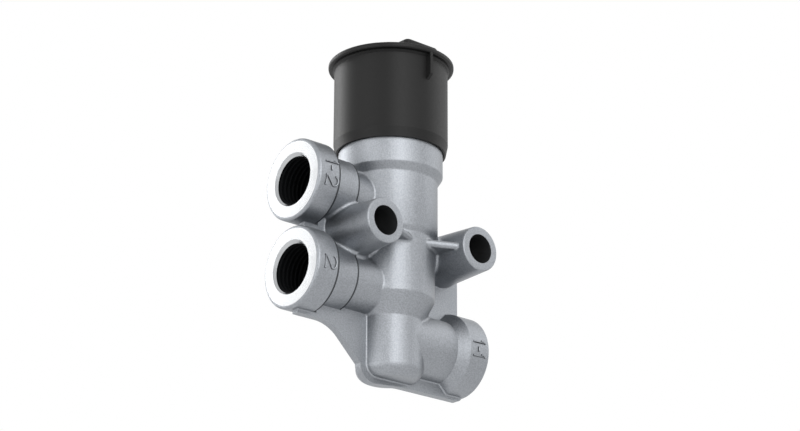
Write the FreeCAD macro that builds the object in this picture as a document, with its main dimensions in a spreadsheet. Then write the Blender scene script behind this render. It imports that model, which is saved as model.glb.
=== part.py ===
import FreeCAD, Part
import os
import Sketcher

# Emergency brake release valve: a die-cast body with three ports and two mounting tubes,
# a stem that slides along the barrel, and a black knob that pushes it.
# X = Y = 0 is the barrel's axis, Z = 0 the height of the two mounting holes, +Z points to the
# knob, +X to port 1-1, and Y = 0 is the parting plane of the casting.

DIMENSIONS = {
    # casting: barrel, from the neck under the knob down to the closed end
    "neck_radius": 15.85, "neck_top": 50.0, "neck_foot": 23.1, "neck_chamfer": 0.8,
    "upper_radius": 14.3, "upper_top": 20.7, "upper_foot": 4.1,
    "lower_radius": 13.4, "lower_top": 2.4, "lower_foot": -16.3,
    "end_radius": 10.0, "end_top": -22.9, "end_foot": -40.8,
    "step_round": 1.0, "end_round": 3.6, "root_round": 1.0,
    # casting: two ports on the left, one above the other, and one on the right
    "port_12_height": 13.2, "port_2_height": -13.8, "port_11_height": -28.3,
    "collar_radius": 12.5, "collar_face": 38.0, "collar_back": 29.5, "collar_round": 0.95,
    "ring_radius": 9.7, "ring_back": 20.2, "stub_12_radius": 7.2, "stub_2_radius": 8.8,
    "pipe_radius": 9.85, "pipe_end": 18.6, "cone_end": 21.4, "right_face": 29.0,
    "right_round": 0.7,
    # machining: M16 x 1.5 port threads, drilled ways behind them, stepped bore of the barrel
    "thread_radius": 7.19, "thread_depth": 12.0, "mouth_radius": 8.17, "way_radius": 4.5,
    "way_depth": 14.0, "bore_radius": 8.0, "bore_foot": -18.8, "seat_radius": 6.6,
    "seat_foot": -21.4, "blind_radius": 4.8, "blind_foot": -34.5, "blind_tip": -36.5,
    "neck_bore_radius": 11.0, "neck_bore_foot": 28.0,
    "ring_groove_radius": 11.95, "ring_groove_foot": 40.3, "ring_groove_top": 41.9,
    # casting: mounting tubes along Y and their ribs
    "hole_spacing": 37.5, "hole_radius": 4.5, "tube_radius": 6.86, "tube_foot_radius": 7.8,
    "tube_end": 19.5, "tube_round": 0.45, "rib_thickness": 2.2, "rib_round": 1.0,
    "rib_inner_x": 1.5, "rib_inner_y": 12.6, "rib_outer_x": 12.6, "rib_outer_y": 17.7,
    "rib_root_round": 0.9,
    # casting: web in the parting plane
    "web_thickness": 2.5, "web_right": 26.2, "web_left": 34.1, "web_low_left": 36.0,
    "web_shelf": -27.4, "web_bend_x": 23.0, "web_bend_round": 12.5,
    "web_corner_x": 12.2, "web_corner_z": -37.7, "web_toe": 27.7, "web_toe_round": 1.5,
    "web_foot": -42.0, "lobe_radius": 5.5, "lobe_x": 6.8, "lobe_z": -37.4, "lobe_run": 3.4,
    "web_root_round": 0.5,
    # play between pieces that move or slip in, and how far a cut starts outside its surface
    "play": 0.05, "overrun": 1.0,
    # stem and its grooves
    "stroke": 6.0, "stem_radius": 4.9, "stem_chamfer": 0.8,
    "nose_radius": 4.0, "nose_foot": -16.5, "nose_top": -10.0,
    "waist_radius": 3.0, "waist_foot": -1.5, "waist_top": 14.6,
    "shoulder": 48.05, "spigot_radius": 4.0, "stem_top": 56.4,
    "detent_height": 35.2, "detent_wire": 0.8, "detent_floor": 4.4, "detent_half": 0.9,
    "detent_gap_angle": 50,
    "stop_clip_height": 18.55, "stop_clip_floor": 4.2, "stop_clip_radius": 5.8,
    "stop_clip_gap": 5.0, "clip_thickness": 1.0,
    "knob_clip_height": 54.5, "knob_clip_wire": 0.55, "knob_clip_floor": 3.4,
    "knob_clip_inner": 3.6, "knob_clip_pocket": 5.2, "knob_clip_half": 0.6,
    "knob_clip_gap_angle": 60,
    # seals in the bore, with spacer cages between them
    "lower_seal_height": -20.1, "lower_seal_wire": 1.24, "seal_wire": 1.48, "seal_half": 1.5,
    "middle_seal_height": -4.5, "upper_seal_height": 22.0,
    "cage_radius": 7.95, "cage_bore": 6.0, "cage_lip": 5.1, "cage_low_lip": 4.6,
    "cage_lip_height": 1.4, "window_radius": 3.1, "window_count": 4,
    # guide bush in the neck and what it holds
    "bush_radius": 10.95, "bush_top": 40.2, "recess_radius": 7.2, "recess_foot": 34.3,
    "bush_seal_height": 31.0, "bush_seal_wire": 0.93, "bush_groove_floor": 9.05,
    "bush_groove_half": 1.25, "washer_inner": 5.05, "washer_foot": 36.1, "washer_top": 37.6,
    "wiper_top": 40.0, "wiper_heel": 0.6, "wiper_valley_radius": 6.15, "wiper_valley": 38.7,
    "wiper_root": 0.7, "wiper_lip": 0.35,
    "retaining_inner": 9.4, "retaining_gap": 5.0, "bumper_inner": 5.2, "bumper_radius": 8.6,
    "bumper_top": 42.0,
    # knob
    "sleeve_radius": 17.41, "sleeve_bore": 16.15, "sleeve_foot": 30.4, "lip_radius": 16.8,
    "taper_top": 33.4, "step_radius": 17.95, "step_foot": 57.4,
    "rim_radius": 19.25, "rim_foot": 58.2, "rim_top": 59.9, "rim_round": 0.6,
    "roof_foot": 57.9, "knob_boss_radius": 7.6, "spigot_roof": 56.6,
    "bar_width": 13.0, "bar_length": 29.6, "bar_height": 3.1, "bar_corner": 1.6,
    "bar_round": 0.7, "fin_thickness": 1.0, "fin_side": 0.5, "fin_foot": 49.9,
    "fin_bevel": 51.5, "fin_inset": 0.1, "fin_root": 0.5, "fin_count": 2,
}

# How near, in mm, two places or two volumes count as the same, and how near an edge lies to a
# skin that it belongs to. Edges shorter than SHORTEST_EDGE are left by two skins that nearly meet.
SAME = 0.01
ON_SKIN = 0.001
SHORTEST_EDGE = 0.02
# Two faces that meet at less than SMOOTH radians make no corner, and a corner's side is felt
# PROBE mm away from its edge.
SMOOTH = 0.08
PROBE = 0.02

ALONG_X, ALONG_Y, ALONG_Z = (FreeCAD.Vector(*axis) for axis in ((1, 0, 0), (0, 1, 0), (0, 0, 1)))

document = FreeCAD.newDocument("release_valve")
sheet = document.addObject("Spreadsheet::Sheet", "Sizes")
for row, (alias, number) in enumerate(DIMENSIONS.items(), start=1):
    sheet.set(f"A{row}", alias)
    sheet.set(f"B{row}", str(number))
    sheet.setAlias(f"B{row}", alias)
document.recompute()


class Size:
    """A number together with the sheet formula that gives it."""

    def __init__(self, value, formula):
        self.value, self.formula = float(value), formula

    def __add__(self, other):
        return Size(self.value + sized(other).value, f"({self.formula} + {sized(other).formula})")

    def __sub__(self, other):
        return Size(self.value - sized(other).value, f"({self.formula} - {sized(other).formula})")

    def __mul__(self, other):
        return Size(self.value * sized(other).value, f"({self.formula} * {sized(other).formula})")

    def __truediv__(self, other):
        return Size(self.value / sized(other).value, f"({self.formula} / {sized(other).formula})")

    def __neg__(self):
        return Size(-self.value, f"(0 - {self.formula})")


def sized(number):
    return number if isinstance(number, Size) else Size(number, f"({number})")


class Sheet:
    """Driving dimensions by name: dims.neck_radius reads the sheet's cell of that alias."""

    def __getattr__(self, alias):
        return Size(sheet.get(alias), f"Sizes.{alias}")


dims = Sheet()


def bind(feature, **properties):
    """Set properties of a feature and bind them to sheet formulas."""
    for name, length in properties.items():
        setattr(feature, name, sized(length).value)
        feature.setExpression(name, sized(length).formula)


# Sketches: each stands on an origin plane of its own body, and every corner and centre is
# dimensioned from the origin with a formula.

def new_body(label):
    body = document.addObject("PartDesign::Body", label)
    body.Label = label
    return body


def origin_item(body, role):
    return next(item for item in body.Origin.OriginFeatures if item.Role == role)


def new_sketch(body, name, plane, height=None):
    sketch = body.newObject("Sketcher::SketchObject", name)
    sketch.AttachmentSupport = [(origin_item(body, plane), "")]
    sketch.MapMode = "FlatFace"
    if height is not None:
        sketch.setExpression("AttachmentOffset.Base.z", sized(height).formula)
    return sketch


def vector(point):
    return FreeCAD.Vector(sized(point[0]).value, sized(point[1]).value, 0)


def dimension(sketch, kind, place, length):
    index = sketch.addConstraint(Sketcher.Constraint(kind, *place, sized(length).value))
    sketch.setExpression(f"Constraints[{index}]", sized(length).formula)


def locate(sketch, element, vertex, point):
    """Dimension a vertex from the origin along both axes."""
    for kind, length in zip(("DistanceX", "DistanceY"), point):
        dimension(sketch, kind, (-1, 1, element, vertex), length)


def draw_outline(sketch, points):
    """A closed outline of straight lines through the points."""
    first = sketch.GeometryCount
    for start, end in zip(points, points[1:] + points[:1]):
        sketch.addGeometry(Part.LineSegment(vector(start), vector(end)))
    for index, point in enumerate(points):
        before = first + (index - 1) % len(points)
        sketch.addConstraint(Sketcher.Constraint("Coincident", before, 2, first + index, 1))
        locate(sketch, first + index, 1, point)


def draw_circle(sketch, centre, radius):
    element = sketch.addGeometry(Part.Circle(vector(centre), ALONG_Z, sized(radius).value))
    locate(sketch, element, 3, centre)
    dimension(sketch, "Radius", (element,), radius)


# Features: each recomputes the document and stops if it leaves its body's volume as it was. Faces
# that meet smoothly are kept apart, because the fillets of the casting run out at their seams.

volumes = {}


def settle(body, feature):
    feature.Refine = False
    body.Tip = feature
    document.recompute()
    before, volumes[body.Label] = volumes.get(body.Label, 0.0), feature.Shape.Volume
    if abs(volumes[body.Label] - before) < SAME:
        raise ValueError(f"{body.Label}: {feature.Name} changes nothing")
    return feature


def turned(body, name, plane, points, axis="V_Axis", cut=False):
    """The outline revolved about a sketch axis, or about the line that joins two points."""
    sketch = new_sketch(body, name + "_profile", plane)
    draw_outline(sketch, points)
    if not isinstance(axis, str):
        line = sketch.addGeometry(Part.LineSegment(vector(axis[0]), vector(axis[1])), True)
        locate(sketch, line, 1, axis[0])
        locate(sketch, line, 2, axis[1])
        axis = "Axis0"
    feature = body.newObject("PartDesign::Groove" if cut else "PartDesign::Revolution", name)
    feature.Profile = sketch
    feature.ReferenceAxis = (sketch, [axis])
    feature.Angle = 360
    return settle(body, feature)


def padded(body, name, sketch, length, cut=False, symmetric=False, reverse=False):
    """The sketch given a thickness, as material or as a pocket."""
    feature = body.newObject("PartDesign::Pocket" if cut else "PartDesign::Pad", name)
    feature.Profile = sketch
    bind(feature, Length=length)
    if symmetric:
        feature.SideType = "Symmetric"
    feature.Reversed = reverse
    return settle(body, feature)


def mirrored(body, name, originals, plane):
    feature = body.newObject("PartDesign::Mirrored", name)
    feature.Originals = originals
    feature.MirrorPlane = (origin_item(body, plane), [""])
    return settle(body, feature)


def around_axis(body, name, originals, count):
    """A polar pattern about Z."""
    feature = body.newObject("PartDesign::PolarPattern", name)
    feature.Originals = originals
    feature.Axis = (origin_item(body, "Z_Axis"), [""])
    feature.Angle = 360
    feature.Occurrences = int(count.value)
    feature.setExpression("Occurrences", count.formula)
    return settle(body, feature)


def rounded(body, name, edge_test, radius):
    """A fillet on the edges that edge_test picks from the body so far."""
    base = body.Tip
    picked = [f"Edge{number}" for number, edge in enumerate(base.Shape.Edges, start=1)
              if edge_test(edge)]
    feature = body.newObject("PartDesign::Fillet", name)
    feature.Base = (base, picked)
    bind(feature, Radius=radius)
    return settle(body, feature)


def is_about(edge, axis):
    """Whether an edge is a circle or an arc about an axis direction."""
    return isinstance(edge.Curve, Part.Circle) and abs(abs(edge.Curve.Axis * axis) - 1) < SAME


def is_circle(edge, axis, place, radius):
    """Whether an edge is a circle about an axis direction, at a place along it."""
    return (is_about(edge, axis) and abs(edge.Curve.Radius - sized(radius).value) < SAME
            and abs(edge.Curve.Center * axis - sized(place).value) < SAME)


def is_line_along(edge, axis, place):
    """Whether a straight edge runs along an axis through a place, given without that axis."""
    if not isinstance(edge.Curve, Part.Line):
        return False
    start, end = edge.Vertexes[0].Point, edge.Vertexes[-1].Point
    others = [index for index in range(3) if index != axis]
    return (abs(abs(end[axis] - start[axis]) - edge.Length) < SAME
            and all(abs(start[index] - sized(at).value) < SAME
                    for index, at in zip(others, place)))


def is_hollow(shape, edge):
    """Whether two faces meet at an edge in an inside corner: one leads off in front of the other."""
    faces = shape.ancestorsOfType(edge, Part.Face)
    if len(faces) != 2 or edge.Length < SHORTEST_EDGE:
        return False
    halfway = (edge.FirstParameter + edge.LastParameter) / 2
    middle = edge.valueAt(halfway)
    first, second = (face.normalAt(*face.Surface.parameter(middle)) for face in faces)
    if first.getAngle(second) < SMOOTH:
        return False
    away = second.cross(edge.tangentAt(halfway)) * PROBE
    if not faces[1].isPartOfDomain(*faces[1].Surface.parameter(middle + away)):
        away = -away
    return first * away > 0


def lies_on(edge, elements):
    """Whether the middle of an edge lies on one of the shells, faces or edges given."""
    middle = Part.Vertex(edge.valueAt((edge.FirstParameter + edge.LastParameter) / 2))
    return any(middle.distToShape(element)[0] < ON_SKIN for element in elements)


def joined(body, name, plates, root_round):
    """Plates fused into this body, with a fillet all round where they meet its skin."""
    feature = body.newObject("PartDesign::Boolean", name)
    feature.Type = "Fuse"
    feature.setObjects(plates)
    settle(body, feature)
    return rounded(body, name + "_roots",
                   lambda edge: is_hollow(feature.Shape, edge)
                   and any(lies_on(edge, plate.Shape.Shells) for plate in plates)
                   and not any(lies_on(edge, plate.Shape.Edges) for plate in plates), root_round)


# Valve body

def port_outline(height, stub_radius):
    """Half section of a left port: collar, ring and stub, which runs on into the barrel."""
    def at(x, radius):
        return (-x, height + radius)
    return [at(dims.collar_face, 0), at(dims.collar_face, dims.collar_radius),
            at(dims.collar_back, dims.collar_radius), at(dims.collar_back, dims.ring_radius),
            at(dims.ring_back, dims.ring_radius), at(dims.ring_back, stub_radius),
            at(dims.play, stub_radius), at(dims.play, 0)]


def make_web():
    """The plate in the parting plane, with the lobe under the barrel's end."""
    d = dims
    body = new_body("web")
    outline = new_sketch(body, "web_outline", "XZ_Plane")
    draw_outline(outline, [
        (-d.web_left, d.port_12_height), (-d.web_left, d.port_2_height),
        (-d.web_low_left, d.port_2_height), (-d.web_low_left, d.web_shelf),
        (-d.web_bend_x, d.web_shelf), (-d.web_corner_x, d.web_corner_z),
        (-d.lobe_x, d.lobe_z), (-d.lobe_x, d.lobe_z - d.lobe_radius),
        (d.lobe_run, d.web_foot), (d.web_toe, d.web_foot), (d.web_toe, d.port_11_height),
        (d.web_right, d.port_11_height), (d.web_right, 0), (0, d.port_12_height)])
    padded(body, "plate", outline, d.web_thickness, symmetric=True)
    rounded(body, "web_bend",
            lambda edge: is_line_along(edge, 1, (-d.web_bend_x, d.web_shelf)), d.web_bend_round)
    rounded(body, "web_toe",
            lambda edge: is_line_along(edge, 1, (d.web_toe, d.web_foot)), d.web_toe_round)
    lobe = new_sketch(body, "lobe_outline", "XZ_Plane")
    draw_circle(lobe, (-d.lobe_x, d.lobe_z), d.lobe_radius)
    padded(body, "lobe", lobe, d.web_thickness, symmetric=True)
    return body


def make_rib(label, side):
    """The flat rib between the barrel and one mounting tube, its slanted edges rounded."""
    d = dims
    body = new_body(label)
    outline = new_sketch(body, label + "_outline", "XY_Plane")
    draw_outline(outline, [
        (d.rib_inner_x * side, -d.rib_inner_y), (d.rib_outer_x * side, -d.rib_outer_y),
        (d.rib_outer_x * side, d.rib_outer_y), (d.rib_inner_x * side, d.rib_inner_y)])
    padded(body, label + "_plate", outline, d.rib_thickness, symmetric=True)
    slant = d.rib_outer_x - d.rib_inner_x, d.rib_outer_y - d.rib_inner_y
    slant_length = FreeCAD.Vector(slant[0].value, slant[1].value, 0).Length
    rounded(body, label + "_rim",
            lambda edge: abs(edge.Length - slant_length) < SAME, d.rib_round)
    return body


def make_valve_body():
    d = dims
    body = new_body("valve_body")

    turned(body, "barrel", "XZ_Plane", [
        (0, d.neck_top), (d.neck_radius - d.neck_chamfer, d.neck_top),
        (d.neck_radius, d.neck_top - d.neck_chamfer), (d.neck_radius, d.neck_foot),
        (d.upper_radius, d.upper_top), (d.upper_radius, d.upper_foot),
        (d.lower_radius, d.lower_top), (d.lower_radius, d.lower_foot),
        (d.end_radius, d.end_top), (d.end_radius, d.end_foot), (0, d.end_foot)])
    rounded(body, "barrel_steps",
            lambda edge: is_circle(edge, ALONG_Z, d.neck_foot, d.neck_radius)
            or is_circle(edge, ALONG_Z, d.upper_top, d.upper_radius)
            or is_circle(edge, ALONG_Z, d.lower_foot, d.lower_radius)
            or is_circle(edge, ALONG_Z, d.end_top, d.end_radius), d.step_round)
    rounded(body, "barrel_end",
            lambda edge: is_circle(edge, ALONG_Z, d.end_foot, d.end_radius), d.end_round)
    for name, height, stub_radius in (("port_12", d.port_12_height, d.stub_12_radius),
                                      ("port_2", d.port_2_height, d.stub_2_radius)):
        turned(body, name, "XZ_Plane", port_outline(height, stub_radius),
               ((-d.collar_face, height), (0, height)))
    middle = d.hole_spacing / 2
    tube = turned(body, "mounting_tube", "XY_Plane", [
        (middle, -d.tube_end), (middle + d.tube_radius, -d.tube_end),
        (middle + d.tube_foot_radius, -d.web_thickness / 2),
        (middle + d.tube_foot_radius, d.web_thickness / 2),
        (middle + d.tube_radius, d.tube_end), (middle, d.tube_end)],
        ((middle, -d.tube_end), (middle, d.tube_end)))
    mirrored(body, "left_mounting_tube", [tube], "YZ_Plane")
    height = d.port_11_height
    turned(body, "port_11", "XZ_Plane", [
        (0, height), (0, height + d.pipe_radius), (d.pipe_end, height + d.pipe_radius),
        (d.cone_end, height + d.collar_radius), (d.right_face, height + d.collar_radius),
        (d.right_face, height)], ((0, height), (d.right_face, height)))
    rounded(body, "left_collar_edges",
            lambda edge: is_circle(edge, ALONG_X, -d.collar_face, d.collar_radius),
            d.collar_round)
    rounded(body, "right_collar_edge",
            lambda edge: is_circle(edge, ALONG_X, d.right_face, d.collar_radius), d.right_round)
    rounded(body, "tube_edges",
            lambda edge: is_circle(edge, ALONG_Y, -d.tube_end, d.tube_radius)
            or is_circle(edge, ALONG_Y, d.tube_end, d.tube_radius), d.tube_round)
    united = body.Tip.Shape
    rounded(body, "roots",
            lambda edge: not is_about(edge, ALONG_X) and is_hollow(united, edge), d.root_round)
    joined(body, "ribs", [make_rib("right_rib", 1), make_rib("left_rib", -1)], d.rib_root_round)
    joined(body, "web_plate", [make_web()], d.web_root_round)

    turned(body, "barrel_bore", "XZ_Plane", [
        (0, d.neck_top), (d.neck_bore_radius + d.neck_chamfer, d.neck_top),
        (d.neck_bore_radius, d.neck_top - d.neck_chamfer),
        (d.neck_bore_radius, d.neck_bore_foot), (d.bore_radius, d.neck_bore_foot),
        (d.bore_radius, d.bore_foot), (d.seat_radius, d.bore_foot), (d.seat_radius, d.seat_foot),
        (d.blind_radius, d.seat_foot), (d.blind_radius, d.blind_foot), (0, d.blind_tip)],
        cut=True)
    turned(body, "ring_groove", "XZ_Plane", [
        (d.bore_radius, d.ring_groove_foot), (d.ring_groove_radius, d.ring_groove_foot),
        (d.ring_groove_radius, d.ring_groove_top), (d.bore_radius, d.ring_groove_top)], cut=True)
    for name, face, way_end, height in (
            ("thread_12", -d.collar_face, -d.way_radius, d.port_12_height),
            ("thread_2", -d.collar_face, -d.way_radius, d.port_2_height),
            ("thread_11", d.right_face, 0, d.port_11_height)):
        inward = 1 if face.value < 0 else -1
        thread_end = face + d.thread_depth * inward
        turned(body, name, "XZ_Plane", [
            (face, height), (face, height + d.mouth_radius),
            (face + (d.mouth_radius - d.thread_radius) * inward, height + d.thread_radius),
            (thread_end, height + d.thread_radius),
            (face + d.way_depth * inward, height + d.way_radius),
            (way_end, height + d.way_radius), (way_end, height)],
            ((face, height), (way_end, height)), cut=True)
    for name, side in (("left_hole", -1), ("right_hole", 1)):
        hole = new_sketch(body, name + "_outline", "XZ_Plane")
        draw_circle(hole, (middle * side, 0), d.hole_radius)
        padded(body, name, hole, (d.tube_end + d.overrun) * 2, cut=True, symmetric=True)

    return body


# Stem, which slides in the bore, and the clips on it

def groove_points(radius, floor, height, half, floor_half=None):
    """Corners of a groove in a turned shape, from its lower edge to its upper one."""
    floor_half = half if floor_half is None else floor_half
    return [(radius, height - half), (floor, height - floor_half),
            (floor, height + floor_half), (radius, height + half)]


def make_stem():
    d = dims
    stem = d.stem_radius
    body = new_body("stem")
    turned(body, "turned_shape", "XZ_Plane", [
        (0, d.nose_foot), (d.nose_radius - d.stem_chamfer, d.nose_foot),
        (d.nose_radius, d.nose_foot + d.stem_chamfer),
        (d.nose_radius, d.nose_top - (stem - d.nose_radius)), (stem, d.nose_top),
        (stem, d.waist_foot - d.stem_chamfer), (d.waist_radius, d.waist_foot),
        (d.waist_radius, d.waist_top), (stem, d.waist_top + (stem - d.waist_radius)),
        *groove_points(stem, d.stop_clip_floor, d.stop_clip_height, d.clip_thickness / 2),
        *groove_points(stem, d.detent_floor, d.detent_height, d.detent_half,
                       d.detent_half - (stem - d.detent_floor)),
        *groove_points(stem, d.detent_floor, d.detent_height + d.stroke, d.detent_half,
                       d.detent_half - (stem - d.detent_floor)),
        (stem, d.shoulder), (d.spigot_radius, d.shoulder),
        *groove_points(d.spigot_radius, d.knob_clip_floor, d.knob_clip_height,
                       d.knob_clip_half),
        (d.spigot_radius, d.stem_top - d.stem_chamfer),
        (d.spigot_radius - d.stem_chamfer, d.stem_top), (0, d.stem_top)])
    return body


def make_wire_ring(label, centre_radius, wire, height, gap_angle=0):
    """A ring of round wire or cord, closed, or open by a gap on its -X side."""
    ring = document.addObject("Part::Torus", label)
    ring.Label = label
    bind(ring, Radius1=centre_radius, Radius2=wire, Angle3=360 - sized(gap_angle).value)
    ring.setExpression("Placement.Base.z", sized(height).formula)
    ring.Placement.Rotation = FreeCAD.Rotation(ALONG_Z, 180 + sized(gap_angle).value / 2)
    return ring


def make_flat_clip(label, inner, outer, foot, thickness, gap):
    """A flat spring ring with a gap on its -X side."""
    body = new_body(label)
    outline = new_sketch(body, "ring_outline", "XY_Plane", foot)
    draw_circle(outline, (0, 0), inner)
    draw_circle(outline, (0, 0), outer)
    padded(body, "ring", outline, thickness)
    slot = new_sketch(body, "gap_outline", "XY_Plane", foot)
    outside = -outer - dims.overrun
    draw_outline(slot, [(outside, -gap / 2), (0, -gap / 2), (0, gap / 2), (outside, gap / 2)])
    padded(body, "gap", slot, thickness, cut=True, reverse=True)
    return body


# Sealing stack in the bore

def make_cage(label, foot, low_lip, top, window_height):
    """A spacer tube with lips at both ends and a row of windows at its port's height."""
    d = dims
    body = new_body(label)
    turned(body, "tube", "XZ_Plane", [
        (low_lip, foot), (d.cage_radius, foot), (d.cage_radius, top), (d.cage_lip, top),
        (d.cage_lip, top - d.cage_lip_height), (d.cage_bore, top - d.cage_lip_height),
        (d.cage_bore, foot + d.cage_lip_height), (low_lip, foot + d.cage_lip_height)])
    window = new_sketch(body, "window_outline", "YZ_Plane")
    draw_circle(window, (0, window_height), d.window_radius)
    first = padded(body, "window", window, d.cage_radius + d.overrun, cut=True)
    around_axis(body, "windows", [first], d.window_count)
    return body


def make_guide_bush():
    d = dims
    body = new_body("guide_bush")
    running = d.stem_radius + d.play
    turned(body, "turned_shape", "XZ_Plane", [
        (running, d.upper_seal_height + d.seal_half),
        (d.cage_radius, d.upper_seal_height + d.seal_half), (d.cage_radius, d.neck_bore_foot),
        (d.bush_radius, d.neck_bore_foot),
        *groove_points(d.bush_radius, d.bush_groove_floor, d.bush_seal_height,
                       d.bush_groove_half),
        (d.bush_radius, d.bush_top), (d.recess_radius, d.bush_top),
        (d.recess_radius, d.recess_foot), (running, d.recess_foot)])
    return body


def make_washer(label, inner, outer, foot, top):
    body = new_body(label)
    turned(body, "section", "XZ_Plane",
           [(inner, foot), (outer, foot), (outer, top), (inner, top)])
    return body


def make_wiper_ring():
    """A lip ring that keeps dirt off the stem: a heel against the recess and a thin lip."""
    d = dims
    body = new_body("wiper_ring")
    lip, heel = d.stem_radius + d.play, d.recess_radius - d.play
    turned(body, "section", "XZ_Plane", [
        (lip + d.wiper_root, d.washer_top), (heel, d.washer_top), (heel, d.wiper_top),
        (heel - d.wiper_heel, d.wiper_top), (d.wiper_valley_radius, d.wiper_valley),
        (lip + d.wiper_lip, d.wiper_top), (lip, d.wiper_top - d.wiper_lip),
        (lip + d.wiper_root, d.washer_top + d.wiper_root)])
    return body


# Knob

def make_knob():
    d = dims
    body = new_body("knob")
    fit = d.spigot_radius + d.play
    turned(body, "shell", "XZ_Plane", [
        (d.sleeve_bore, d.sleeve_foot), (d.lip_radius, d.sleeve_foot),
        (d.sleeve_radius, d.taper_top), (d.sleeve_radius, d.step_foot),
        (d.step_radius, d.step_foot + (d.step_radius - d.sleeve_radius)),
        (d.step_radius, d.rim_foot), (d.rim_radius, d.rim_foot), (d.rim_radius, d.rim_top),
        (0, d.rim_top), (0, d.spigot_roof), (fit, d.spigot_roof),
        *reversed(groove_points(fit, d.knob_clip_pocket, d.knob_clip_height, d.knob_clip_half)),
        (fit, d.shoulder), (d.knob_boss_radius, d.shoulder), (d.knob_boss_radius, d.roof_foot),
        (d.sleeve_bore, d.roof_foot)])
    rounded(body, "rim_edges",
            lambda edge: is_circle(edge, ALONG_Z, d.rim_top, d.rim_radius)
            or is_circle(edge, ALONG_Z, d.rim_foot, d.rim_radius), d.rim_round)

    bar = new_sketch(body, "bar_outline", "XY_Plane", d.rim_top)
    half_x, half_y = d.bar_width / 2, d.bar_length / 2
    draw_outline(bar, [(-half_x, -half_y), (half_x, -half_y), (half_x, half_y),
                       (-half_x, half_y)])
    padded(body, "bar", bar, d.bar_height)
    bar_top = (d.rim_top + d.bar_height).value
    rounded(body, "bar_corners",
            lambda edge: isinstance(edge.Curve, Part.Line)
            and abs(edge.Length - d.bar_height.value) < SAME
            and abs(edge.CenterOfMass.z - (d.rim_top.value + bar_top) / 2) < SAME,
            d.bar_corner)
    rounded(body, "bar_edges",
            lambda edge: all(abs(v.Point.z - bar_top) < SAME for v in edge.Vertexes)
            and abs(edge.CenterOfMass.z - bar_top) < SAME, d.bar_round)

    fin_outline = new_sketch(body, "fin_outline", "YZ_Plane", -d.fin_side)
    tip, root = d.rim_radius - d.fin_inset, d.sleeve_radius
    draw_outline(fin_outline, [
        (-tip, d.fin_bevel), (-root, d.fin_foot), (-root + d.fin_root, d.fin_foot),
        (-root + d.fin_root, d.rim_foot + d.fin_root), (-tip, d.rim_foot + d.fin_root)])
    fin = padded(body, "fin", fin_outline, d.fin_thickness, symmetric=True)
    around_axis(body, "fins", [fin], d.fin_count)
    return body


def make_parts():
    d = dims
    seal_radius = d.stem_radius + d.play + d.seal_wire
    middle_foot = d.middle_seal_height - d.seal_half
    return [
        make_valve_body(), make_stem(), make_knob(), make_guide_bush(),
        make_cage("lower_cage", d.bore_foot, d.cage_low_lip, middle_foot, d.port_2_height),
        make_cage("upper_cage", d.middle_seal_height + d.seal_half, d.cage_lip,
                  d.upper_seal_height - d.seal_half, d.port_12_height),
        make_wire_ring("lower_seal", d.nose_radius + d.play + d.lower_seal_wire,
                       d.lower_seal_wire, d.lower_seal_height),
        make_wire_ring("middle_seal", seal_radius, d.seal_wire, d.middle_seal_height),
        make_wire_ring("upper_seal", seal_radius, d.seal_wire, d.upper_seal_height),
        make_wire_ring("bush_seal", d.bush_groove_floor + d.play + d.bush_seal_wire,
                       d.bush_seal_wire, d.bush_seal_height),
        make_wire_ring("detent_ring", d.detent_floor + d.play + d.detent_wire, d.detent_wire,
                       d.detent_height, d.detent_gap_angle),
        make_washer("detent_washer", d.washer_inner, d.recess_radius - d.play,
                    d.washer_foot, d.washer_top),
        make_wiper_ring(),
        make_washer("bumper_ring", d.bumper_inner, d.bumper_radius, d.bush_top, d.bumper_top),
        make_flat_clip("retaining_ring", d.retaining_inner, d.ring_groove_radius - d.play,
                       d.ring_groove_foot + d.play,
                       d.ring_groove_top - d.ring_groove_foot - d.play * 2, d.retaining_gap),
        make_flat_clip("stop_clip", d.stop_clip_floor + d.play, d.stop_clip_radius,
                       d.stop_clip_height - d.clip_thickness / 2 + d.play / 2,
                       d.clip_thickness - d.play, d.stop_clip_gap),
        make_wire_ring("knob_clip", d.knob_clip_inner + d.knob_clip_wire, d.knob_clip_wire,
                       d.knob_clip_height, d.knob_clip_gap_angle),
    ]


def export(parts):
    """Check every object of the document and each part, then write the STEP files."""
    document.recompute()
    for item in document.Objects:
        if "Invalid" in item.State or "Error" in item.State:
            raise ValueError(f"{item.Label} failed: {item.State}")
    os.makedirs("parts", exist_ok=True)
    for part in parts:
        if part.Shape.isNull() or not part.Shape.isValid() or len(part.Shape.Solids) != 1:
            raise ValueError(f"{part.Label} isn't one valid solid")
        box = part.Shape.BoundBox
        print(f"{part.Label}: {part.Shape.Volume:.0f} mm3, Z {box.ZMin:.2f} to {box.ZMax:.2f}")
        part.Shape.exportStep(f"parts/{part.Label}.step")


export(make_parts())
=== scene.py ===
# %% [markdown]
# # Emergency brake release valve
# A die-cast valve body with three threaded ports and two mounting tubes, and a black push knob
# on its neck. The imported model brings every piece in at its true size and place, in metres, so
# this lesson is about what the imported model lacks: cast skin, turned port faces, threads, the
# raised port numbers, the light and the camera.

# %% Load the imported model
from math import cos, hypot, pi, radians, sin

import bmesh
import bpy
from mathutils import Matrix, Vector


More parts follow.
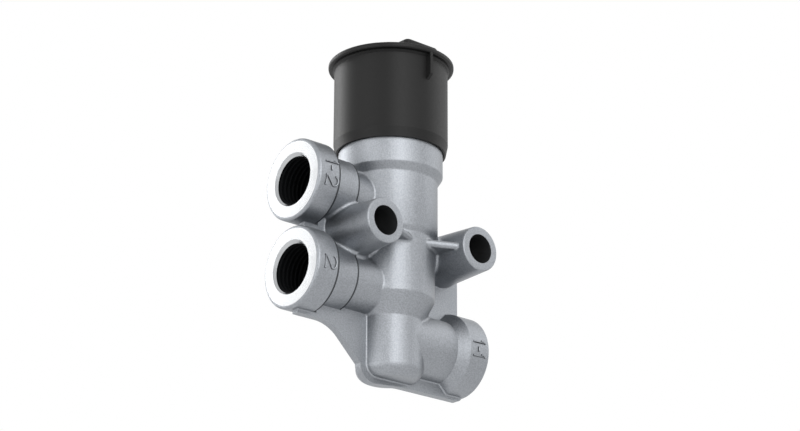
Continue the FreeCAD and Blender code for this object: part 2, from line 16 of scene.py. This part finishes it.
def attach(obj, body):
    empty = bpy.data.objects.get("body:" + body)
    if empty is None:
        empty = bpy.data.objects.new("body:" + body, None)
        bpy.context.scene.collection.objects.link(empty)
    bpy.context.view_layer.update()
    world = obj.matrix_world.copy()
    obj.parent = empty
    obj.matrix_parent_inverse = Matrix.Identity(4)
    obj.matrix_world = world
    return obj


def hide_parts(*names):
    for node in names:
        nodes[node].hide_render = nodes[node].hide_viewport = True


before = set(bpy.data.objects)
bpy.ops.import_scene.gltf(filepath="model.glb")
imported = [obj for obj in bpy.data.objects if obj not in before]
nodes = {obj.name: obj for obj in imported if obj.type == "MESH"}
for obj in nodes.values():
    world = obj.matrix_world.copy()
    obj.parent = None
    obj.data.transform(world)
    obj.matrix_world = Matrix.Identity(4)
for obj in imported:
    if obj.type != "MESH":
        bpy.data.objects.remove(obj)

scene = bpy.context.scene
MM = 0.001
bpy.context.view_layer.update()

# %% [markdown]
# ## The camera
# The photograph looks up at the valve from the front left. The camera's angles, its distance and
# its long lens come from the ellipses that the ports, tubes and barrel steps make in the
# photograph. A camera looks along its own -Z, so three turns place it: roll about its own line of
# sight, tilt up from straight down, and then the turn about the world's Z.

# %% Camera
AZIMUTH, ELEVATION, ROLL = radians(-41.543), radians(-19.963), radians(0.25)
DISTANCE = 740.98 * MM
AIM = Vector((2.214, -1.962, 11.205)) * MM
LENS_MM, SENSOR_MM = 110.78, 36.0

turn = (Matrix.Rotation(AZIMUTH, 4, "Z") @ Matrix.Rotation(pi / 2 - ELEVATION, 4, "X")
        @ Matrix.Rotation(ROLL, 4, "Z"))
camera_data = bpy.data.cameras.new("photo_camera")
camera_data.lens = LENS_MM
camera_data.sensor_width = SENSOR_MM
camera_data.sensor_fit = "HORIZONTAL"
camera_data.clip_start = 10 * MM
camera_data.clip_end = 100.0
camera = bpy.data.objects.new("photo_camera", camera_data)
scene.collection.objects.link(camera)
camera.matrix_world = Matrix.Translation(AIM) @ turn @ Matrix.Translation((0, 0, DISTANCE))
scene.camera = camera
print("The camera stands at", [round(value, 4) for value in camera.location])

# %% [markdown]
# ## Materials from nodes
# Each finish is a Principled shader with a noise that breaks up its roughness and, where asked,
# its surface (bump) and its tone (mottle). The noise reads Object coordinates, which are metres
# here, so a scale of 2300 makes grains of about 0.4 mm, as on the real casting's blasted skin.

# %% A finish with grain
NOISE_DETAIL = 3.0
NOISE_LOW, NOISE_HIGH = 0.3, 0.7    # the range that the noise mostly keeps to


def finish(name, colour, metallic, roughness, grain, spread=0.08, bump=0.0, mottle=0.0,
           specular=0.5):
    """A Principled material whose roughness, tone and surface vary with a fine noise."""
    material = bpy.data.materials.new(name)
    material.use_nodes = True
    tree = material.node_tree
    shader = tree.nodes["Principled BSDF"]
    shader.inputs["Base Color"].default_value = (*colour, 1)
    shader.inputs["Metallic"].default_value = metallic
    shader.inputs["Specular IOR Level"].default_value = specular
    where = tree.nodes.new("ShaderNodeTexCoord")
    noise = tree.nodes.new("ShaderNodeTexNoise")
    noise.inputs["Scale"].default_value = grain
    noise.inputs["Detail"].default_value = NOISE_DETAIL
    tree.links.new(where.outputs["Object"], noise.inputs["Vector"])
    rough = tree.nodes.new("ShaderNodeMapRange")
    rough.inputs["To Min"].default_value = roughness - spread
    rough.inputs["To Max"].default_value = roughness + spread
    tree.links.new(noise.outputs["Fac"], rough.inputs["Value"])
    tree.links.new(rough.outputs["Result"], shader.inputs["Roughness"])
    if bump:
        relief = tree.nodes.new("ShaderNodeBump")
        relief.inputs["Strength"].default_value = 1.0
        relief.inputs["Distance"].default_value = bump
        tree.links.new(noise.outputs["Fac"], relief.inputs["Height"])
        tree.links.new(relief.outputs["Normal"], shader.inputs["Normal"])
    if mottle:
        tone = tree.nodes.new("ShaderNodeMapRange")
        tone.inputs["From Min"].default_value = NOISE_LOW
        tone.inputs["From Max"].default_value = NOISE_HIGH
        tone.inputs["To Min"].default_value = 1 - mottle
        tone.inputs["To Max"].default_value = 1 + mottle
        scale = tree.nodes.new("ShaderNodeVectorMath")
        scale.operation = "SCALE"
        scale.inputs[0].default_value = colour
        tree.links.new(noise.outputs["Fac"], tone.inputs["Value"])
        tree.links.new(tone.outputs["Result"], scale.inputs["Scale"])
        tree.links.new(scale.outputs["Vector"], shader.inputs["Base Color"])
    return material

# %% [markdown]
# ## The casting's finishes
# The casting is blasted aluminium, mid grey with a fine sparkle. The bores and drilled holes get an
# almost black finish, painted shade for the dark inside deep holes. A dark finish on the back edges
# of the collars and on the walls of the port numbers is painted shade in those corners. The chamfer
# at each port's mouth is turned aluminium made darker than the turned faces, which is painted shade.

# %% Cast skin, corners, bores and chamfers
cast = finish("blasted_cast_aluminium", (0.264, 0.277, 0.296), 1.0, 0.48, 2300,
              bump=0.06 * MM, mottle=0.16)
# The bores' almost black colour is painted shade, the dark inside deep holes.
painted_shade_bore = finish("bore_painted_shade", (0.005, 0.0055, 0.006), 0.0, 0.6, 1500, specular=0.05)
# The drilled holes' near black is painted shade as well.
painted_shade_hole = finish("drilled_hole_painted_shade", (0.02, 0.021, 0.022), 0.0, 0.5, 1500)
# Painted shade for the back edges of the collars and the walls of the port numbers.
painted_edge_shade = finish("cast_painted_edge_shade", (0.068, 0.072, 0.077), 1.0, 0.6, 2600)
# The chamfer is turned aluminium made darker than the turned faces, which is painted shade.
painted_shade_chamfer = finish("turned_chamfer_painted_shade", (0.42, 0.43, 0.44), 1.0, 0.2, 1500, spread=0.04)
print("Made", cast.name, painted_shade_bore.name, painted_shade_hole.name, painted_edge_shade.name, painted_shade_chamfer.name)

# %% [markdown]
# ## Turned port faces
# A lathe has cut the port faces, which leaves bright metal with fine rings around each port. A
# Wave texture draws rings about the X axis, and a Mapping node moves them to the port's axis.

# %% A turned face
RING_SCALE, RING_WOBBLE = 1400, 0.3
RING_STRENGTH, RING_DEPTH = 0.5, 0.002 * MM


def turned_face(name, height):
    """Bright aluminium with turning rings about the axis along X at this height."""
    material = finish(name, (0.72, 0.735, 0.75), 1.0, 0.26, 1500, spread=0.03)
    tree = material.node_tree
    place = tree.nodes.new("ShaderNodeMapping")
    place.inputs["Location"].default_value = (0, 0, -height)
    rings = tree.nodes.new("ShaderNodeTexWave")
    rings.wave_type = "RINGS"
    rings.rings_direction = "X"
    rings.inputs["Scale"].default_value = RING_SCALE
    rings.inputs["Distortion"].default_value = RING_WOBBLE
    groove = tree.nodes.new("ShaderNodeBump")
    groove.inputs["Strength"].default_value = RING_STRENGTH
    groove.inputs["Distance"].default_value = RING_DEPTH
    where = tree.nodes.new("ShaderNodeTexCoord")
    tree.links.new(where.outputs["Object"], place.inputs["Vector"])
    tree.links.new(place.outputs["Vector"], rings.inputs["Vector"])
    tree.links.new(rings.outputs["Fac"], groove.inputs["Height"])
    tree.links.new(groove.outputs["Normal"], tree.nodes["Principled BSDF"].inputs["Normal"])
    return material

# %% [markdown]
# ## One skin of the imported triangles
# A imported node's mesh must stay as it is, so the casting gets a copy to work on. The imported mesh
# is loose triangles: merging its doubles joins them into one skin, which can be bevelled, cut by
# a Boolean and shaded smooth.

# %% Merge the casting's triangles
skin = bmesh.new()
skin.from_mesh(nodes["valve_body"].data)
bmesh.ops.remove_doubles(skin, verts=skin.verts, dist=0.001 * MM)
print("The casting's skin has", len(skin.faces), "triangles")

# %% [markdown]
# ## Soft edges behind the collars
# A dark line of shade follows the back edge of each left collar and of the ring behind it, and here
# it is painted shade, a dark finish on the edge. A cast edge is never sharp. Each of these edges is
# a circle, so its edges are found by their place, and bevel rounds them. A plane then cuts a narrow
# strip off the wall in front of the rounding, so that painted shade can cover the strip as well.

# %% Round the back edges
# place along X of each port's face, and height of its axis
PORTS = {"1_2": (-38.0 * MM, 13.2 * MM), "2": (-38.0 * MM, -13.8 * MM),
         "1_1": (29.0 * MM, -28.3 * MM)}
LEFT_PORTS = ("1_2", "2")
# of each circle its place along X, radius, rounding and the width of the painted shade strip before
# it
BACK_EDGES = ((-29.5 * MM, 12.5 * MM, 1.1 * MM, 0.05 * MM),
              (-20.2 * MM, 9.7 * MM, 0.4 * MM, 0.3 * MM))
ROUNDING_STEPS = 5
ON_EDGE = 0.02 * MM


def at_radius(vert, radius, height):
    """Whether a vertex lies this far from the axis along X at this height."""
    return abs(hypot(vert.co.y, vert.co.z - height) - radius) < ON_EDGE


def round_back_edge(height, x, radius, rounding, strip):
    """Round one circle of the skin and cut the strip off its wall."""
    circle = [edge for edge in skin.edges
              if all(abs(vert.co.x - x) < ON_EDGE and at_radius(vert, radius, height)
                     for vert in edge.verts)]
    bmesh.ops.bevel(skin, geom=circle, offset=rounding, offset_type="OFFSET",
                    segments=ROUNDING_STEPS, profile=0.5, affect="EDGES", material=-1,
                    clamp_overlap=True)
    wall = [face for face in skin.faces
            if all(at_radius(vert, radius, height) and vert.co.x < x - rounding / 2
                   for vert in face.verts)]
    around = dict.fromkeys(part for face in wall for part in (*face.edges, *face.verts))
    bmesh.ops.bisect_plane(skin, geom=[*wall, *around], plane_no=(1, 0, 0),
                           plane_co=(x - rounding - strip, 0, 0), dist=ON_EDGE / 10)
    print("The circle at x", round(x / MM, 1), "mm and height", round(height / MM, 1), "mm has",
          len(circle), "edges")


for port in LEFT_PORTS:
    for back_edge in BACK_EDGES:
        round_back_edge(PORTS[port][1], *back_edge)

# %% [markdown]
# ## The working copy
# The skin becomes an object that rides on the valve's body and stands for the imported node. The
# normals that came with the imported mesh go, because they belong to its loose triangles.

# %% Working copy
def mesh_piece(name, shape):
    """An object from a bmesh, riding on the valve's body."""
    data = bpy.data.meshes.new(name)
    shape.to_mesh(data)
    shape.free()
    piece = bpy.data.objects.new(name, data)
    scene.collection.objects.link(piece)
    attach(piece, "body")
    return piece


cast_body = mesh_piece("cast_body", skin)
packed_normals = cast_body.data.attributes.get("custom_normal")
if packed_normals:
    cast_body.data.attributes.remove(packed_normals)
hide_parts("valve_body")
print("The casting's copy has", len(cast_body.data.polygons), "faces")

# %% [markdown]
# ## Port threads
# Each port has an M16 x 1.5 thread. A thread is a V that runs round the bore and along it at the
# same time, which bmesh's spin does when it is also given a step along the axis. The V starts in
# the air in front of the face, so that the thread runs out through the mouth as a tap leaves it.

# %% Thread cutters
PITCH = 1.5 * MM
THREAD_START, THREAD_LENGTH = 1.5 * MM, 12.5 * MM
STEPS_A_TURN = 40
# the V's corners in mm: place along the axis, and radius from inside the bore out to the root
V_PROFILE = ((-0.64, 7.05), (-0.094, 8.0), (0.094, 8.0), (0.64, 7.05))


def thread_cutter(name, face, height):
    """A helical V about the port's axis, from in front of its face inwards."""
    inward = 1 if face < 0 else -1
    start = face - THREAD_START * inward
    cutter = bmesh.new()
    corners = [cutter.verts.new((start + along * MM, 0, height + radius * MM))
               for along, radius in V_PROFILE]
    cutter.faces.new(corners)
    turns = THREAD_LENGTH / PITCH
    steps = round(turns * STEPS_A_TURN)
    bmesh.ops.spin(cutter, geom=cutter.verts[:] + cutter.edges[:] + cutter.faces[:],
                   cent=(0, 0, height), axis=(1, 0, 0), angle=2 * pi * turns, steps=steps,
                   dvec=(THREAD_LENGTH / steps * inward, 0, 0))
    ends = [edge for edge in cutter.edges if edge.is_boundary]
    bmesh.ops.holes_fill(cutter, edges=ends, sides=len(V_PROFILE))
    bmesh.ops.recalc_face_normals(cutter, faces=cutter.faces)
    print(name, "has", len(cutter.faces), "faces, closed:",
          all(edge.is_manifold for edge in cutter.edges))
    data = bpy.data.meshes.new(name)
    cutter.to_mesh(data)
    cutter.free()
    return bpy.data.objects.new(name, data)


cutters = [thread_cutter("cutter_" + port, *place) for port, place in PORTS.items()]

# %% [markdown]
# ## Cutting the threads
# A Boolean for each port takes the V out of the bore's wall. The result becomes the copy's own
# mesh, so the modifiers and cutters can go.

# %% Cut the threads
for cutter in cutters:
    scene.collection.objects.link(cutter)
    cut = cast_body.modifiers.new(cutter.name, "BOOLEAN")
    cut.operation = "DIFFERENCE"
    cut.solver = "EXACT"
    cut.object = cutter
seen = bpy.context.evaluated_depsgraph_get()
threaded = bpy.data.meshes.new_from_object(cast_body.evaluated_get(seen))
cast_body.modifiers.clear()
cast_body.data = threaded
for cutter in cutters:
    bpy.data.objects.remove(cutter)
print("With its threads the casting has", len(threaded.polygons), "faces")

# %% [markdown]
# ## The finishes of one mesh
# One mesh can carry several materials, and each of its faces holds a slot number. Every port has
# a turned face of its own, because the rings run about that port's axis.

# %% Material slots
# Faces in the bore, drilled, chamfer and back edge slots get painted shade.
CAST, BORE, CHAMFER, PAINTED_EDGE_SHADE, DRILLED, FIRST_TURNED = range(6)
finishes = [cast, painted_shade_bore, painted_shade_chamfer, painted_edge_shade, painted_shade_hole]
finishes += [turned_face("turned_face_" + port, height) for port, (_, height) in PORTS.items()]
threaded.materials.clear()
for material in finishes:
    threaded.materials.append(material)
print("The casting's slots are", [material.name for material in finishes])

# %% [markdown]
# ## Which face gets which finish
# A face is turned when it lies on a port's face, it is chamfer in the cone at a port's mouth, and
# it is bore when it lies nearer to a hole's axis than that hole's wall. Distances from the axes
# and depths along them sort them all.

# %% Sort a face by its place
FACE_RADIUS, MOUTH_RADIUS, MINOR_RADIUS = 11.55 * MM, 8.17 * MM, 7.19 * MM
DRILLED_DEPTH, WAY_RADIUS = 14.0 * MM, 4.5 * MM
TUBE_X, HOLE_RADIUS = 18.75 * MM, 4.5 * MM
BLIND_TIP, NECK_FLOOR, NECK_TOP = -36.5 * MM, 28.0 * MM, 50.0 * MM
BORE_RADIUS, NECK_RADIUS = 8.0 * MM, 11.95 * MM
NEAR = 0.05 * MM
FLAT_ON = 0.9                       # a normal's X from which a face looks along the port's axis
# Faces of a back edge whose normals' X lies in this range get painted shade.
DARK_FROM, DARK_TO = -0.1, 0.8      # normals' X from the strip to half way round a back edge


def gets_painted_edge_shade(x, from_axis, facing):
    """Whether a face lies in a back edge's strip or in the outer half of its rounding, which get
    painted shade.
    """
    return DARK_FROM < facing < DARK_TO and any(
        edge - rounding - strip < x < edge - NEAR / 5 and abs(from_axis - radius) < rounding
        for edge, radius, rounding, strip in BACK_EDGES)


def slot_in_port(depth, from_axis, facing):
    """The slot of a face, from its depth in a port and its distance from the port's axis."""
    on_cone = abs(MOUTH_RADIUS - from_axis - depth) < 2 * NEAR
    if abs(depth) < NEAR and abs(facing) > FLAT_ON and from_axis < FACE_RADIUS:
        return FIRST_TURNED
    if on_cone and depth < MOUTH_RADIUS - MINOR_RADIUS:
        return CHAMFER
    wall = MOUTH_RADIUS if depth < DRILLED_DEPTH else WAY_RADIUS + NEAR
    return BORE if depth > -NEAR and from_axis < wall else CAST


def slot_of(centre, normal):
    """The slot of any face of the casting, from its centre and the way it looks."""
    x, y, z = centre
    for number, (face, height) in enumerate(PORTS.values()):
        from_axis = hypot(y, z - height)
        slot = slot_in_port(abs(face) - x * (1 if face > 0 else -1), from_axis, normal.x)
        if slot and x * face > 0:
            return slot + number if slot == FIRST_TURNED else slot
        if face < 0 and gets_painted_edge_shade(x, from_axis, normal.x):
            return PAINTED_EDGE_SHADE
    if hypot(abs(x) - TUBE_X, z) < HOLE_RADIUS + NEAR:
        return DRILLED
    wall = NECK_RADIUS if z > NECK_FLOOR - NEAR else BORE_RADIUS
    in_barrel = BLIND_TIP - NEAR < z < NECK_TOP - NEAR and hypot(x, y) < wall + NEAR
    return BORE if in_barrel else CAST

# %% [markdown]
# ## Slots and shading
# Every face gets its slot. Shading is smooth across edges of less than 30 degrees, and sharper
# edges stay crisp.

# %% Assign the faces
SHARP_ANGLE = radians(30)

sorted_skin = bmesh.new()
sorted_skin.from_mesh(threaded)
for face in sorted_skin.faces:
    face.material_index = slot_of(face.calc_center_median(), face.normal)
    face.smooth = True
for edge in sorted_skin.edges:
    edge.smooth = edge.calc_face_angle(pi) < SHARP_ANGLE
sorted_skin.to_mesh(threaded)
sorted_skin.free()
counts = [sum(face.material_index == number for face in threaded.polygons)
          for number in range(len(finishes))]
print("Faces per finish:", dict(zip([material.name for material in finishes], counts)))

# %% [markdown]
# ## Raised port numbers
# The ports carry small raised numbers on their collars: 1-2, 2 and 1-1. They read downwards, with
# their tops towards the valve's right. A character is a few strokes, drawn flat and one unit high,
# and then laid on the collar: its height runs along the port's axis and its width round the
# collar.

# %% Characters as strokes
ARC = [(0.5 + 0.46 * cos(radians(angle)), 0.73 + 0.27 * sin(radians(angle)))
       for angle in range(165, -46, -15)]
STROKES = {
    "1": [[(0.05, 0.72), (0.62, 1.0), (0.62, 0.0)]],
    "-": [[(0.0, 0.42), (1.0, 0.42)]],
    "2": [ARC + [(0.02, 0.0), (1.0, 0.0)]],
}
# per port: x of the characters' foot and of their top in mm, then each character with the
# angles above the horizontal at which it starts and ends
MARKS = {
    "1_2": ((-35.3, -30.9), (("1", 17.0, 12.5), ("-", 8.0, 3.0), ("2", -5.5, -19.0))),
    "2": ((-35.2, -31.2), (("2", 6.5, -11.5),)),
    "1_1": ((22.8, 27.2), (("1", 11.5, 7.0), ("-", 1.5, -3.5), ("1", -8.0, -12.5))),
}
COLLAR_RADIUS, STROKE_LIFT = 12.5 * MM, 0.06 * MM


def on_collar(port, across, up, span, angles):
    """Where a point of a flat character lies on the port's collar."""
    height = PORTS[port][1]
    angle = radians(angles[0] + (angles[1] - angles[0]) * across)
    radius = COLLAR_RADIUS + STROKE_LIFT
    x = (span[0] + (span[1] - span[0]) * up) * MM
    return Vector((x, -radius * cos(angle), height + radius * sin(angle)))


for port, (span, characters) in MARKS.items():
    print("The number of port", port, "starts at", on_collar(port, 0, 0, span, characters[0][1:]))

# %% [markdown]
# ## Ridges
# The strokes were milled into the die with a small round cutter, so each stands out as a round
# ridge: a curve with a round bevel, sunk in the collar to just under half. Spheres round off its
# corners and ends. The ridge's steep walls get painted shade, a dark finish, and its top is as
# bright as the skin.

# %% Raise the numbers
STROKE_RADIUS = 0.34 * MM
RIDGE_STEPS = 6
SPHERE_SEGMENTS, SPHERE_RINGS = 12, 8
WALL_LIMIT = 0.6    # a face that leans further than this from the collar's skin is a wall


def ridge(line):
    """A round ridge along a line of points, as a mesh."""
    curve = bpy.data.curves.new("ridge", "CURVE")
    curve.dimensions = "3D"
    curve.bevel_depth = STROKE_RADIUS
    curve.bevel_resolution = RIDGE_STEPS
    curve.use_fill_caps = True
    spline = curve.splines.new("POLY")
    spline.points.add(len(line) - 1)
    for point, place in zip(spline.points, line):
        point.co = (*place, 1)
    holder = bpy.data.objects.new("ridge", curve)
    data = bpy.data.meshes.new_from_object(holder)
    bpy.data.objects.remove(holder)
    return data


def raise_number(port):
    """All characters of a port's number, as one piece."""
    span, characters = MARKS[port]
    mark = bmesh.new()
    for character, start, end in characters:
        for stroke in STROKES[character]:
            line = [on_collar(port, across, up, span, (start, end)) for across, up in stroke]
            mark.from_mesh(ridge(line))
            for place in line:
                bmesh.ops.create_uvsphere(mark, u_segments=SPHERE_SEGMENTS,
                                          v_segments=SPHERE_RINGS, radius=STROKE_RADIUS,
                                          matrix=Matrix.Translation(place))
    bmesh.ops.recalc_face_normals(mark, faces=mark.faces)
    for face in mark.faces:
        place = face.calc_center_median()
        outwards = Vector((0, place.y, place.z - PORTS[port][1])).normalized()
        # Walls get the dark finish, which is painted shade, and tops keep the cast skin.
        face.material_index = int(face.normal.dot(outwards) < WALL_LIMIT)
        face.smooth = True
    piece = mesh_piece("port_number_" + port, mark)
    piece.data.materials.append(cast)
    piece.data.materials.append(painted_edge_shade)
    print(piece.name, "has", len(piece.data.polygons), "faces")


for port in MARKS:
    raise_number(port)

# %% [markdown]
# ## Finishes of the other pieces
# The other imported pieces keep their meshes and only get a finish: satin black plastic for the
# knob, turned aluminium for the stem, and brass, spring steel, rubber and natural plastic for the
# pieces inside, which show when the valve is taken apart.

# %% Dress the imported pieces
plastic = finish("satin_black_plastic", (0.008, 0.008, 0.008), 0.0, 0.48, 1800,
                 bump=0.006 * MM, specular=0.2)
turned = finish("turned_aluminium", (0.72, 0.72, 0.73), 1.0, 0.25, 1500)
brass = finish("turned_brass", (0.72, 0.55, 0.28), 1.0, 0.28, 1500)
natural = finish("natural_plastic", (0.75, 0.73, 0.66), 0.0, 0.5, 1800)
rubber = finish("seal_rubber", (0.03, 0.03, 0.03), 0.0, 0.6, 2500, bump=0.006 * MM)
steel = finish("spring_steel", (0.35, 0.35, 0.36), 1.0, 0.35, 2500)
DRESS = (
    (cast, ("valve_body",)), (plastic, ("knob",)), (turned, ("stem",)), (brass, ("guide_bush",)),
    (natural, ("lower_cage", "upper_cage")),
    (rubber, ("lower_seal", "middle_seal", "upper_seal", "bush_seal", "wiper_ring",
              "bumper_ring")),
    (steel, ("detent_ring", "detent_washer", "retaining_ring", "stop_clip", "knob_clip")),
)
for material, names in DRESS:
    for name in names:
        nodes[name].data.materials.clear()
        nodes[name].data.materials.append(material)
    print(material.name, "dresses", *names)

# %% [markdown]
# ## Telling rays apart
# Light Path has an output for each kind of ray that is 1 for that kind and 0 for the others. The
# floor and the world use it to look brighter to the camera and in reflections than they are as
# light on the object.

# %% Light path helpers
def added(tree, first, second):
    """The sum of two sockets, at most 1."""
    add = tree.nodes.new("ShaderNodeMath")
    add.operation = "ADD"
    add.use_clamp = True
    tree.links.new(first, add.inputs[0])
    tree.links.new(second, add.inputs[1])
    return add.outputs[0]


def camera_and_mirrored(tree):
    """Two sockets: 1 for the camera's rays, and 1 for rays that a shiny surface sends out."""
    path = tree.nodes.new("ShaderNodeLightPath")
    mirrored = added(tree, path.outputs["Is Glossy Ray"], path.outputs["Is Transmission Ray"])
    return path.outputs["Is Camera Ray"], mirrored


def level_for(tree, rays, usual, for_rays):
    """A strength that is for_rays where the socket is 1 and usual elsewhere."""
    level = tree.nodes.new("ShaderNodeMapRange")
    level.inputs["To Min"].default_value = usual
    level.inputs["To Max"].default_value = for_rays
    tree.links.new(rays, level.inputs["Value"])
    return level.outputs["Result"]

# %% [markdown]
# ## Floor
# The photograph looks up at the valve, so the floor lies well under it, where it hides no view
# from below. It is pale and dull, and shines a little for the camera and in reflections, because
# the undersides of the real casting mirror a white table.

# %% Lay the floor
FLOOR_HEIGHT, FLOOR_REACH = -0.85, 17.0
FLOOR_MIRRORED, FLOOR_SEEN = 0.90, 0.72

floor_mesh = bmesh.new()
bmesh.ops.create_grid(floor_mesh, x_segments=1, y_segments=1, size=FLOOR_REACH)
bmesh.ops.translate(floor_mesh, verts=floor_mesh.verts, vec=(0, 0, FLOOR_HEIGHT))
floor_data = bpy.data.meshes.new("floor")
floor_mesh.to_mesh(floor_data)
floor_mesh.free()
floor = bpy.data.objects.new("floor", floor_data)
scene.collection.objects.link(floor)
pale = finish("pale_floor", (0.6, 0.6, 0.6), 0.0, 0.9, 20)
floor_data.materials.append(pale)
tree = pale.node_tree
shader = tree.nodes["Principled BSDF"]
camera_rays, mirrored = camera_and_mirrored(tree)
shine = added(tree, level_for(tree, mirrored, 0.0, FLOOR_MIRRORED),
              level_for(tree, camera_rays, 0.0, FLOOR_SEEN))
shader.inputs["Emission Color"].default_value = (1, 1, 1, 1)
tree.links.new(shine, shader.inputs["Emission Strength"])
print("The floor lies at", FLOOR_HEIGHT)

# %% [markdown]
# ## World
# The world is white wherever the camera or a mirror-like reflection sees it, and dimmer as light.

# %% White background
WORLD_LEVEL = 0.35

world = bpy.data.worlds.new("studio")
scene.world = world
world.use_nodes = True
tree = world.node_tree
seen_white = added(tree, *camera_and_mirrored(tree))
background = tree.nodes["Background"]
background.inputs["Color"].default_value = (1, 1, 1, 1)
tree.links.new(level_for(tree, seen_white, WORLD_LEVEL, 1.0), background.inputs["Strength"])
print("As light the world's level is", WORLD_LEVEL)

# %% [markdown]
# ## Lamps
# Each highlight in the photograph tells where a soft box stood. Every lamp here is a rectangle
# that faces the valve, named for its place, and its brightness is given as radiance, how bright
# its face looks, so that a larger box lights more without looking brighter in a reflection. The
# key is a wide box with a brighter middle, which gives the barrel its broad, soft highlight.

# %% Soft boxes
LAMP_DISTANCE = 0.9
# azimuth and elevation in degrees, width and height in metres, and radiance
LAMPS = {
    "key_panel": (-5, 20, 0.6, 0.8, 1.5),
    "key_middle": (-25, 15, 0.25, 0.8, 4.5),
    "left_panel": (-85, 5, 0.7, 0.8, 1.8),
    "left_back_strip": (-163, 20, 0.42, 0.7, 4.6),
    "right_panel": (65, 30, 0.7, 0.8, 1.1),
}


def lamp(name, azimuth, elevation, width, height, radiance):
    """A rectangular soft lamp that faces the valve from a direction given like a view's."""
    data = bpy.data.lights.new(name, "AREA")
    data.shape = "RECTANGLE"
    data.size = width
    data.size_y = height
    data.energy = radiance * pi * width * height
    soft = bpy.data.objects.new(name, data)
    scene.collection.objects.link(soft)
    facing = (Matrix.Rotation(radians(azimuth), 4, "Z")
              @ Matrix.Rotation(pi / 2 - radians(elevation), 4, "X"))
    soft.matrix_world = Matrix.Translation(AIM) @ facing @ Matrix.Translation((0, 0, LAMP_DISTANCE))
    soft.visible_camera = False
    print(name, "gives", round(data.energy, 2), "watts")


for name, settings in LAMPS.items():
    lamp(name, *settings)
scene.view_settings.view_transform = "Standard"
